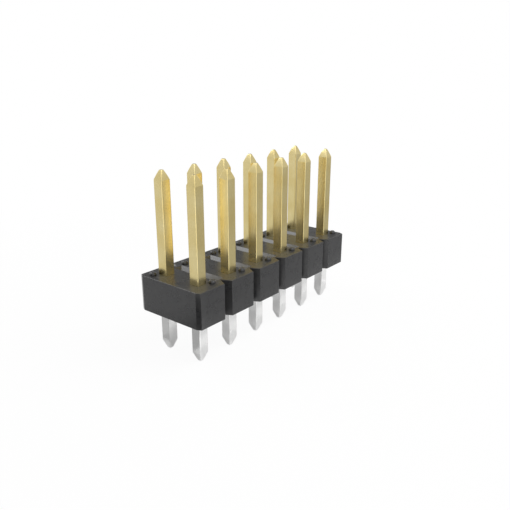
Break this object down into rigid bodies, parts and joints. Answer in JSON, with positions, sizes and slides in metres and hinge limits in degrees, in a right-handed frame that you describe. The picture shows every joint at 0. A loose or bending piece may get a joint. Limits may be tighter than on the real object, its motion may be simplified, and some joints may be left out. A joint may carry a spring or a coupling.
{
  "type": "pin header strip",
  "caption": "Straight pin header strip: square metal pins with pointed ends stand in paired rows through a notched black insulator, with short solder tails below.",
  "frame": {"origin": "centre of the insulator's underside, which is the face that sits on a circuit board", "axes": "+X along the strip, +Y from the front row of pins to the back row, +Z from the board towards the mating ends of the pins"},
  "size_m": [0.0148, 0.0048, 0.0108],
  "materials": {
    "insulator": "satin moulded glass-filled plastic, black",
    "pins": "gold plated on the mating ends, bright tin plated on the tails"
  },
  "bodies": {
    "root": {"insulator": "insulator", "pin_front_1": "pins", "pin_front_2": "pins", "pin_front_3": "pins", "pin_front_4": "pins", "pin_front_5": "pins", "pin_front_6": "pins", "pin_back_1": "pins", "pin_back_2": "pins", "pin_back_3": "pins", "pin_back_4": "pins", "pin_back_5": "pins", "pin_back_6": "pins"}
  },
  "joints": []
}
